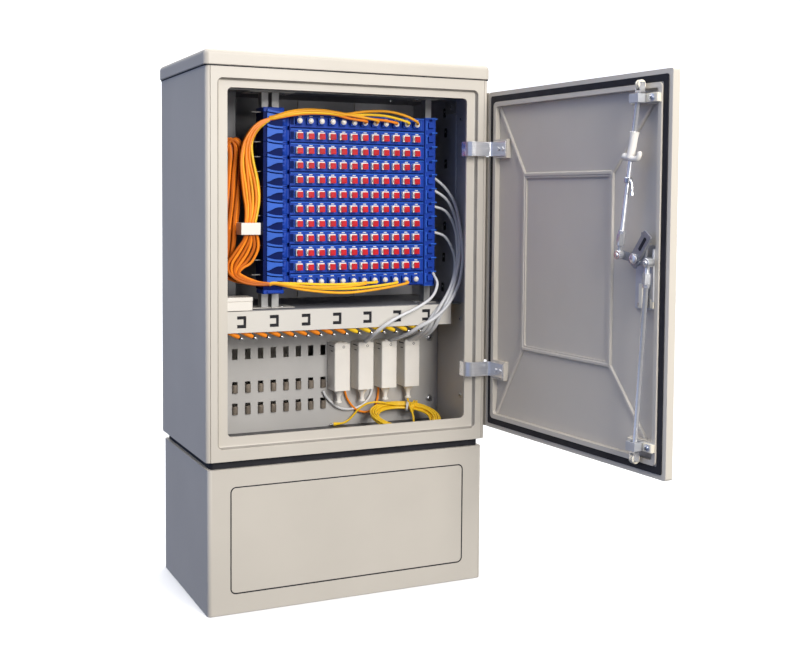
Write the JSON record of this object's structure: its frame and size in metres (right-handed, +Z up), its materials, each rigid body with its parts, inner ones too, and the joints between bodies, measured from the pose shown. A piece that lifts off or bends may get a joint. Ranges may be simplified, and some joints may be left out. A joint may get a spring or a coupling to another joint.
{
  "type": "fibre cross-connect street cabinet",
  "caption": "Moulded street cabinet on a plinth with one hinged door and rod lock, holding swing-out fibre adapter trays, cable shelf and patch cords.",
  "frame": {"origin": "middle of the plinth's underside, at the centre of its four anchor holes", "axes": "+Z up, the door opening faces -Y, +X is to the right of someone facing the door opening"},
  "size_m": [0.6145, 0.8122, 0.984],
  "materials": {
    "moulded_body": "fine satin moulded compound",
    "black_rubber": "matt",
    "grey_sheet": "satin powder coat",
    "pale_sheet": "satin powder coat",
    "blue_plastic": "satin moulded",
    "white_plastic": "smooth moulded",
    "bright_steel": "bright zinc plate",
    "orange_jacket": "smooth cable jacket",
    "yellow_jacket": "smooth cable jacket",
    "grey_jacket": "smooth cable jacket"
  },
  "bodies": {
    "cabinet": {"plinth_shell": "moulded_body", "plinth_cover": "moulded_body", "neck_seal": "black_rubber", "floor_plate": "grey_sheet", "left_side_panel": "moulded_body", "right_side_panel": "moulded_body", "rear_panel": "moulded_body", "front_frame": "moulded_body", "roof_cap": "moulded_body", "equipment_frame": "grey_sheet", "fibre_guides": "blue_plastic", "tray_latch_bar": "blue_plastic", "cable_shelf": "pale_sheet", "slotted_plate": "grey_sheet", "cable_boxes": "white_plastic", "cable_clip": "white_plastic", "storage_box": "white_plastic", "hinge_brackets": "bright_steel", "frame_screws": "bright_steel", "patch_fibres": "orange_jacket", "grey_cables": "grey_jacket", "parked_connectors": "orange_jacket", "yellow_coil": "yellow_jacket"},
    "door": {"door_panel": "moulded_body", "door_seal": "black_rubber", "hinge_straps": "bright_steel", "lock_brackets": "bright_steel"},
    "lock": {"lock_cam": "bright_steel", "lock_handle": "bright_steel"},
    "upper_bolt": {"upper_rod": "bright_steel", "rod_sleeve": "white_plastic"},
    "lower_bolt": {"lower_rod": "bright_steel"},
    "upper_wheel": {"upper_roller": "white_plastic"},
    "lower_wheel": {"lower_roller": "white_plastic"},
    "tray_01": {"tray_01": "blue_plastic", "adapters_01": "white_plastic", "top_tray_fibres": "orange_jacket"},
    "tray_02": {"tray_02": "blue_plastic", "adapters_02": "white_plastic"},
    "tray_03": {"tray_03": "blue_plastic", "adapters_03": "white_plastic"},
    "tray_04": {"tray_04": "blue_plastic", "adapters_04": "white_plastic"},
    "tray_05": {"tray_05": "blue_plastic", "adapters_05": "white_plastic"},
    "tray_06": {"tray_06": "blue_plastic", "adapters_06": "white_plastic"},
    "tray_07": {"tray_07": "blue_plastic", "adapters_07": "white_plastic"},
    "tray_08": {"tray_08": "blue_plastic", "adapters_08": "white_plastic"},
    "tray_09": {"tray_09": "blue_plastic", "adapters_09": "white_plastic"},
    "tray_10": {"tray_10": "blue_plastic", "adapters_10": "white_plastic"},
    "tray_11": {"tray_11": "blue_plastic", "adapters_11": "white_plastic"},
    "tray_12": {"tray_12": "blue_plastic", "adapters_12": "white_plastic", "bottom_tray_fibres": "yellow_jacket"}
  },
  "joints": [
    {"name": "door_hinge", "type": "hinge", "parent": "cabinet", "child": "door", "pos_m": [0.265, -0.14, 0.6], "axis": [0, 0, 1], "range_deg": [-94.3, 2]},
    {"name": "lock_turn", "type": "hinge", "parent": "door", "child": "lock", "pos_m": [0.30223, -0.58847, 0.639], "axis": [0.9972, 0.075, 0], "range_deg": [0, 38]},
    {"name": "upper_rod_pivot", "type": "hinge", "parent": "lock", "child": "upper_bolt", "pos_m": [0.29073, -0.55557, 0.64373], "axis": [0.9972, 0.075, 0], "range_deg": [-42, 1]},
    {"name": "lower_rod_pivot", "type": "hinge", "parent": "lock", "child": "lower_bolt", "pos_m": [0.29578, -0.62272, 0.63427], "axis": [0.9972, 0.075, 0], "range_deg": [-42, 1]},
    {"name": "upper_roller_spin", "type": "hinge", "parent": "upper_bolt", "child": "upper_wheel", "pos_m": [0.29538, -0.59734, 0.9105], "axis": [-0.075, 0.9972, 0], "continuous": true},
    {"name": "lower_roller_spin", "type": "hinge", "parent": "lower_bolt", "child": "lower_wheel", "pos_m": [0.29548, -0.59867, 0.323], "axis": [-0.075, 0.9972, 0], "continuous": true},
    {"name": "tray_01_swing", "type": "hinge", "parent": "cabinet", "child": "tray_01", "pos_m": [-0.096, -0.052, 0.8735], "axis": [0, 0, -1], "range_deg": [0, 65]},
    {"name": "tray_02_swing", "type": "hinge", "parent": "cabinet", "child": "tray_02", "pos_m": [-0.096, -0.052, 0.8465], "axis": [0, 0, -1], "range_deg": [0, 65]},
    {"name": "tray_03_swing", "type": "hinge", "parent": "cabinet", "child": "tray_03", "pos_m": [-0.096, -0.052, 0.8195], "axis": [0, 0, -1], "range_deg": [0, 65]},
    {"name": "tray_04_swing", "type": "hinge", "parent": "cabinet", "child": "tray_04", "pos_m": [-0.096, -0.052, 0.7925], "axis": [0, 0, -1], "range_deg": [0, 65]},
    {"name": "tray_05_swing", "type": "hinge", "parent": "cabinet", "child": "tray_05", "pos_m": [-0.096, -0.052, 0.7655], "axis": [0, 0, -1], "range_deg": [0, 65]},
    {"name": "tray_06_swing", "type": "hinge", "parent": "cabinet", "child": "tray_06", "pos_m": [-0.096, -0.052, 0.7385], "axis": [0, 0, -1], "range_deg": [0, 65]},
    {"name": "tray_07_swing", "type": "hinge", "parent": "cabinet", "child": "tray_07", "pos_m": [-0.096, -0.052, 0.7115], "axis": [0, 0, -1], "range_deg": [0, 65]},
    {"name": "tray_08_swing", "type": "hinge", "parent": "cabinet", "child": "tray_08", "pos_m": [-0.096, -0.052, 0.6845], "axis": [0, 0, -1], "range_deg": [0, 65]},
    {"name": "tray_09_swing", "type": "hinge", "parent": "cabinet", "child": "tray_09", "pos_m": [-0.096, -0.052, 0.6575], "axis": [0, 0, -1], "range_deg": [0, 65]},
    {"name": "tray_10_swing", "type": "hinge", "parent": "cabinet", "child": "tray_10", "pos_m": [-0.096, -0.052, 0.6305], "axis": [0, 0, -1], "range_deg": [0, 65]},
    {"name": "tray_11_swing", "type": "hinge", "parent": "cabinet", "child": "tray_11", "pos_m": [-0.096, -0.052, 0.6035], "axis": [0, 0, -1], "range_deg": [0, 65]},
    {"name": "tray_12_swing", "type": "hinge", "parent": "cabinet", "child": "tray_12", "pos_m": [-0.096, -0.052, 0.5765], "axis": [0, 0, -1], "range_deg": [0, 65]}
  ],
  "couplings": [
    {"joint": "upper_rod_pivot", "follows": "lock_turn", "ratio": -1.0465},
    {"joint": "lower_rod_pivot", "follows": "lock_turn", "ratio": -1.0465}
  ]
}
